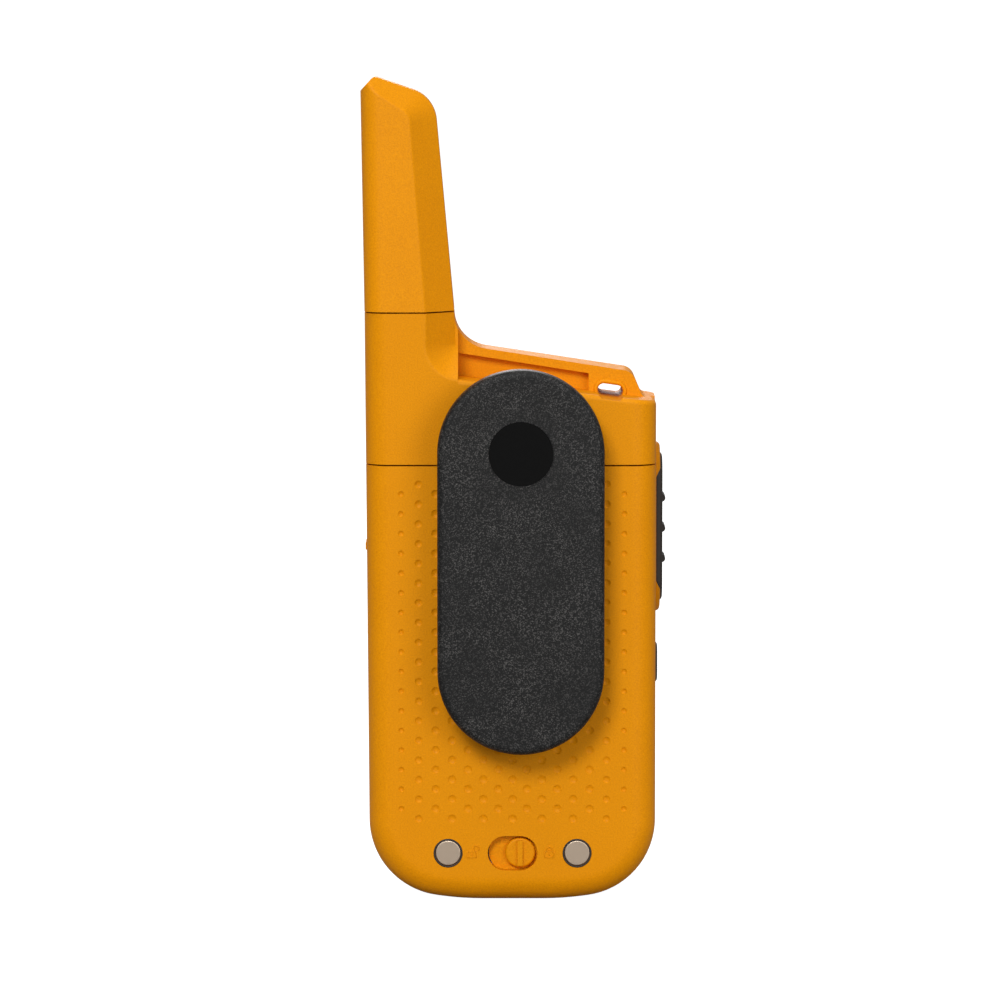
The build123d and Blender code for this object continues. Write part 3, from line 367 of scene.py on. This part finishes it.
# The film leaves more steel bare at a cell's positive end, which points down in the middle cell.
POSITIVE_END = 1.6
NEGATIVE_END = 0.4
for cell in ("battery_cell_left", "battery_cell_middle", "battery_cell_right"):
    low, high = (corner[2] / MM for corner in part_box(cell))
    if cell == "battery_cell_middle":
        paint(cell_wrap(cell + "_wrap", low + POSITIVE_END, high - NEGATIVE_END), cell)
    else:
        paint(cell_wrap(cell + "_wrap", low + NEGATIVE_END, high - POSITIVE_END), cell)


# ---------------------------------------------------------------- dimpled battery door
# Each sum of the dimples' tree: its name, a Math node's operation, and two values, as names or numbers.
DIMPLE_SUMS = (
    # The points are numbered up one column after another; the half keeps rounding down safe.
    ("number", "ADD", "index", 0.5),
    ("columns passed", "DIVIDE", "number", "Rows"),
    ("columns done", "FLOOR", "columns passed", 0.0),
    ("column", "SUBTRACT", "columns done", "Columns each side"),
    ("rows passed", "MODULO", "number", "Rows"),
    ("row", "FLOOR", "rows passed", 0.0),
    ("away", "ABSOLUTE", "column", 0.0),
    ("side", "SIGN", "column", 0.0),
    ("odd", "MODULO", "away", 2.0),
    # Its place across the door, up the door and out of it.
    ("even pitch", "MULTIPLY", "away", "Column pitch"),
    ("away squared", "POWER", "away", 2.0),
    ("widening", "MULTIPLY", "away squared", "Column spread"),
    ("out", "ADD", "even pitch", "widening"),
    ("x", "MULTIPLY", "out", "side"),
    ("rise", "MULTIPLY", "row", "Row pitch"),
    ("start", "MULTIPLY", "odd", "Stagger"),
    ("climb", "ADD", "rise", "start"),
    ("z", "ADD", "Lowest row", "climb"),
    ("proud", "MULTIPLY", "Depth", LENS_OUT),
    ("y", "ADD", "Back face", "proud"),
    # How many points there are, and which have no dimple: the top one of each odd column.
    ("both sides", "MULTIPLY", "Columns each side", 2.0),
    ("columns", "ADD", "both sides", 1.0),
    ("count", "MULTIPLY", "columns", "Rows"),
    ("under the top", "SUBTRACT", "Rows", 1.5),
    ("on top", "GREATER_THAN", "row", "under the top"),
    ("left out", "MULTIPLY", "odd", "on top"),
    ("wanted", "SUBTRACT", 1.0, "left out"),
    # A lens's width and thickness.
    ("outward", "DIVIDE", "away", "Columns each side"),
    ("at the edge", "POWER", "outward", EDGE_POWER),
    ("shrink", "MULTIPLY", EDGE_SHRINK, "at the edge"),
    ("share", "SUBTRACT", 1.0, "shrink"),
    ("widest", "MULTIPLY", "Width", LENS_WIDER),
    ("across", "MULTIPLY", "widest", "share"),
    ("deep", "MULTIPLY", "Depth", LENS_THICK),
)


def dimple_tree():
    """Geometry nodes that put a lens shaped cutter at each dimple, and the values of their named inputs."""
    tree = bpy.data.node_groups.new("door_dimples", "GeometryNodeTree")
    tree.interface.new_socket("Geometry", in_out="OUTPUT", socket_type="NodeSocketGeometry")
    sizes = {}
    for name, value in DIMPLES.items():
        kind = "NodeSocketInt" if isinstance(value, int) else "NodeSocketFloat"
        socket = tree.interface.new_socket(name, in_out="INPUT", socket_type=kind)
        socket.default_value = value
        sizes[socket.identifier] = value
    given = add(tree, "NodeGroupInput").outputs
    known = {name: given[name] for name in DIMPLES}
    known["index"] = add(tree, "GeometryNodeInputIndex").outputs[0]
    for name, operation, first, second in DIMPLE_SUMS:
        result = add(tree, "ShaderNodeMath", {0: known.get(first, first), 1: known.get(second, second)},
                     operation=operation)
        known[name] = result.outputs[0]
    place = add(tree, "ShaderNodeCombineXYZ", {"X": known["x"], "Y": known["y"], "Z": known["z"]})
    points = add(tree, "GeometryNodePoints", {"Count": known["count"], "Position": place.outputs[0]})
    ball = add(tree, "GeometryNodeMeshUVSphere", {"Segments": 14, "Rings": 8, "Radius": 0.5})
    size = add(tree, "ShaderNodeCombineXYZ", {"X": known["across"], "Y": known["across"], "Z": known["deep"]})
    lenses = add(tree, "GeometryNodeInstanceOnPoints",
                 {"Points": points.outputs[0], "Selection": known["wanted"], "Instance": ball.outputs["Mesh"],
                  "Rotation": (math.pi / 2, 0, 0), "Scale": size.outputs[0]})
    real = add(tree, "GeometryNodeRealizeInstances", {"Geometry": lenses.outputs[0]})
    painted = add(tree, "GeometryNodeSetMaterial", {"Geometry": real.outputs[0], "Material": amber_abs})
    add(tree, "NodeGroupOutput", {"Geometry": painted.outputs[0]})
    return tree, sizes


def dimple_lenses():
    """The cutters for all the dimples, as one object with a plain mesh."""
    tree, sizes = dimple_tree()
    holder = new_object("dimple_lenses", bpy.data.meshes.new("dimple_lenses"))
    modifier = holder.modifiers.new("dimples", "NODES")
    modifier.node_group = tree
    for identifier, value in sizes.items():
        modifier[identifier] = value
    return new_object("dimple_lenses", finished_mesh(holder, "dimple_lenses"))


def door_blank():
    """The plain battery door: loose triangles joined, each flat face made one, and smooth but for its edges."""
    shape = bmesh.new()
    shape.from_mesh(NODES["battery_door"].data)
    bmesh.ops.remove_doubles(shape, verts=shape.verts, dist=0.002 * MM)
    bmesh.ops.dissolve_limit(shape, angle_limit=math.radians(0.6), verts=shape.verts, edges=shape.edges)
    data = bpy.data.meshes.new("door_blank")
    shape.to_mesh(data)
    shape.free()
    data.shade_smooth()
    data.set_sharp_from_angle(angle=math.radians(32))
    return new_object("door_blank", data)


def battery_door_skin():
    """The battery door with its dimples cut into it, shaded so that its flat faces stay flat round them."""
    lenses = dimple_lenses()
    door = door_blank()
    cut = door.modifiers.new("dimples", "BOOLEAN")
    cut.operation = "DIFFERENCE"
    cut.solver = "EXACT"
    cut.object = lenses
    flat = door.modifiers.new("flat_faces", "WEIGHTED_NORMAL")
    flat.keep_sharp = True
    door_skin = new_piece("battery_door_skin", finished_mesh(door, "battery_door_skin"), amber_abs,
                          "battery_door")
    bpy.data.objects.remove(lenses)
    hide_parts("battery_door")


battery_door_skin()


# ---------------------------------------------------------------- raised marks
def beads(name, lines, face_y, radius, material, body):
    """A piece of thin round beads half sunk in a face that looks along Y. Each line says whether it is
    closed, and gives its X, Z points."""
    curve = bpy.data.curves.new(name, "CURVE")
    curve.dimensions = "3D"
    curve.bevel_depth = radius * MM
    curve.bevel_resolution = 2
    curve.use_fill_caps = True
    for closed, points in lines:
        spline = curve.splines.new("POLY")
        spline.points.add(len(points) - 1)
        for point, (x, z) in zip(spline.points, points):
            point.co = (x * MM, face_y * MM, z * MM, 1.0)
        spline.use_cyclic_u = closed
    data = finished_mesh(new_object(name, curve), name)
    data.shade_smooth()
    new_piece(name, data, material, body)


def centre(node):
    """The X and Z of the middle of a node's box."""
    low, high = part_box(node)
    return (low[0] + high[0]) / (2 * MM), (low[2] + high[2]) / (2 * MM)


def arc(x, z, radius, start, end, steps=14):
    """Points along an arc, its angles in degrees from the X axis."""
    turns = [math.radians(start + (end - start) * i / steps) for i in range(steps + 1)]
    return [(x + radius * math.cos(t), z + radius * math.sin(t)) for t in turns]


def ring(x, z, radius, sides):
    """Points round a whole circle."""
    return arc(x, z, radius, 0, 360 * (sides - 1) / sides, sides - 1)


def stadium(x, z, length, height, tilt):
    """Points round a slot with round ends, tilted in degrees."""
    half, radius = (length - height) / 2, height / 2
    points = arc(half, 0, radius, -90, 90, 8) + arc(-half, 0, radius, 90, 270, 8)
    turn = math.radians(tilt)
    return [(x + px * math.cos(turn) - pz * math.sin(turn), z + px * math.sin(turn) + pz * math.cos(turn))
            for px, pz in points]


def padlock(x, z, lift=0.0, aside=0.0):
    """A padlock: body, shackle and keyhole. An open one has its shackle lifted and moved aside."""
    half, foot, shoulder = 0.85, z - 1.05, z + 0.15
    bend, leg = 0.5, 0.4
    body = [(x - half, foot), (x + half, foot), (x + half, shoulder), (x - half, shoulder)]
    shackle = [(x + aside - bend, shoulder + lift), *arc(x + aside, shoulder + leg + lift, bend, 180, 0),
               (x + aside + bend, shoulder)]
    keyhole = [(x, z - 0.3), (x, z - 0.65)]
    return [(True, body), (False, shackle), (False, keyhole)]


def key_symbol(key, x, z):
    """Lines of the symbol on a front key: three bars for the menu, a bell to call, and arrows up and down."""
    half = 1.3
    if key == "key_menu":
        return [(False, [(x - half, z + dz), (x + half, z + dz)]) for dz in (-0.9, 0.0, 0.9)]
    if key == "key_call":
        lip, waist, dome = 1.4, 0.9, z + 0.3
        bell = [(x - lip, z - 0.8), (x - waist, z - 0.3), *arc(x, dome, waist, 180, 0), (x + waist, z - 0.3),
                (x + lip, z - 0.8)]
        return [(True, bell), (False, arc(x, z - 0.8, 0.45, 200, 340, 6))]
    up = 1 if key == "key_up" else -1
    return [(True, [(x - half, z - 0.7 * up), (x + half, z - 0.7 * up), (x, z + 1.1 * up)])]


_, latch_z = centre("door_latch")
padlocks = padlock(OPEN_MARK_X, latch_z, lift=0.25, aside=-0.9) + padlock(SHUT_MARK_X, latch_z)
beads("latch_padlocks", padlocks, BACK_Y, 0.17, amber_abs, "battery_door")

strap_slot = next(mount for mount in frame["record"]["mounts"] if mount["name"] == "strap_slot")
slot_x, _, slot_z = (value / MM for value in strap_slot["pos_m"])
length, height, tilt = STRAP_SLOT
slot_line = stadium(slot_x, slot_z, length + 2 * STRAP_RIM_OUT, height + 2 * STRAP_RIM_OUT, tilt)
beads("strap_slot_rim", [(True, slot_line)], SHELF_Y, STRAP_RIM_R, amber_abs, "radio_body")

_, contact_z = centre("charge_contacts")
# Painted shade: a dark bead round each charging contact stands for the shade in the gap round it.
beads("contact_shade_rings", [(True, ring(side * CONTACT_X, contact_z, CONTACT_SHADE_RING_R, 33)) for side in (-1, 1)],
      BACK_Y - 0.10, 0.16, black_rubber, "battery_door")

clip_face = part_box("clip_paddle")[1][1] / MM
beads("disc_rim", [(True, ring(*centre("clip_disc"), DISC_RIM_R, 61))], clip_face - 0.08, 0.14, clip_nylon,
      "clip_lever")

for key in ("key_menu", "key_call", "key_up", "key_down"):
    key_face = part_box(key)[0][1] / MM
    beads(key + "_mark", key_symbol(key, *centre(key)), key_face, 0.13, printed_white, key)


# ---------------------------------------------------------------- camera, floor and light
ELEVATION = math.radians(5.5)
DISTANCE_M = 1.1
VIEW_WIDTH_M = 0.200
SENSOR_MM = 36.0
AIM = Vector((2.5 * MM, 0, 78.8 * MM))
FLOOR_REACH_M = 60.0
ROOM_LIGHT = 0.36                       # how bright the white room is as a light, against 1 where it is seen


def back_camera():
    """A long lens behind the radio, a little above its middle."""
    data = bpy.data.cameras.new("camera")
    data.sensor_width = SENSOR_MM
    data.lens = SENSOR_MM * DISTANCE_M / VIEW_WIDTH_M
    camera = new_object("camera", data)
    camera.location = AIM + DISTANCE_M * Vector((0, math.cos(ELEVATION), math.sin(ELEVATION)))
    camera.rotation_euler = (AIM - camera.location).to_track_quat("-Z", "Y").to_euler()
    bpy.context.scene.camera = camera


def paper_floor():
    """The sheet that the radio stands on."""
    data = bpy.data.meshes.new("floor")
    reach = FLOOR_REACH_M
    data.from_pydata([(-reach, -reach, 0), (reach, -reach, 0), (reach, reach, 0), (-reach, reach, 0)], [],
                     [(0, 1, 2, 3)])
    data.materials.append(glowing_paper())
    floor = new_object("floor", data)


def white_room():
    """Plain white where the camera looks past the floor, and dimmer as a light, so that the softboxes model
    the body."""
    world = bpy.data.worlds.new("studio")
    world.use_nodes = True
    tree = world.node_tree
    tree.nodes.clear()
    seen = add(tree, "ShaderNodeLightPath").outputs["Is Camera Ray"]
    strength = add(tree, "ShaderNodeMapRange", {"Value": seen, "To Min": ROOM_LIGHT, "To Max": 1.0})
    sky = add(tree, "ShaderNodeBackground", {"Color": linear("#ffffff"), "Strength": strength.outputs[0]})
    add(tree, "ShaderNodeOutputWorld", {"Surface": sky.outputs[0]})
    bpy.context.scene.world = world


def softbox(name, place, size, power):
    """A white rectangular light that looks at the middle of the radio's body; metres and watts."""
    data = bpy.data.lights.new(name, "AREA")
    data.shape = "RECTANGLE"
    data.size, data.size_y = size
    data.energy = power
    lamp = new_object(name, data)
    lamp.location = place
    lamp.rotation_euler = (Vector((0, 0, 0.08)) - Vector(place)).to_track_quat("-Z", "Y").to_euler()


back_camera()
paper_floor()
white_room()
softbox("key_light", (0.42, 1.65, 1.05), (0.6, 0.6), 21.0)
softbox("fill_light", (-0.90, 1.60, 0.35), (0.8, 0.8), 8.5)
softbox("top_light", (0.0, 0.25, 1.60), (0.9, 0.6), 6.5)
softbox("front_light", (0.2, -0.9, 0.55), (0.6, 0.6), 5.0)
bpy.context.scene.view_settings.view_transform = "Standard"

bpy.context.view_layer.update()
